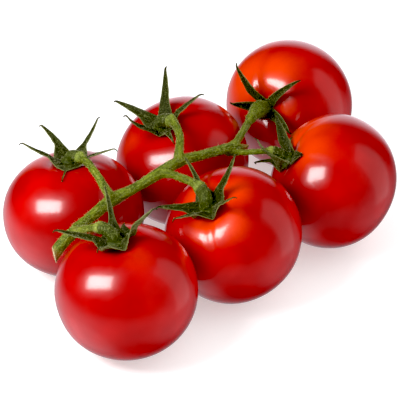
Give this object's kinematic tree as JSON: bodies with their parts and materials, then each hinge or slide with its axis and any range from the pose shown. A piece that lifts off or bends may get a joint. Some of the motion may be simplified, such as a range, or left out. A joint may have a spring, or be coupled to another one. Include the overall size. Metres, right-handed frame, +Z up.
{
  "type": "truss of tomatoes",
  "caption": "Cut truss of ripe red round tomatoes on one green branching stem, with star-shaped green calyxes, lying on a surface.",
  "frame": {"origin": "bottom centre of the whole truss's box, on the surface that it lies on", "axes": "+X along the main stem from its cut end to its dry tip, +Z up from the surface"},
  "size_m": [0.2252, 0.1316, 0.0802],
  "materials": {
    "tomato_skin": "smooth waxy red fruit skin, orange on the shoulders, glossy",
    "calyx_green": "dark green hairy sepals with paler edges and undersides, matte",
    "stem_green": "light green finely hairy stem with a cream cut end, matte"
  },
  "bodies": {
    "root": {"tomato_1": "tomato_skin", "tomato_2": "tomato_skin", "tomato_3": "tomato_skin", "tomato_4": "tomato_skin", "tomato_5": "tomato_skin", "tomato_6": "tomato_skin", "calyx_1": "calyx_green", "calyx_2": "calyx_green", "calyx_3": "calyx_green", "calyx_4": "calyx_green", "calyx_5": "calyx_green", "calyx_6": "calyx_green", "stem": "stem_green"}
  },
  "joints": []
}
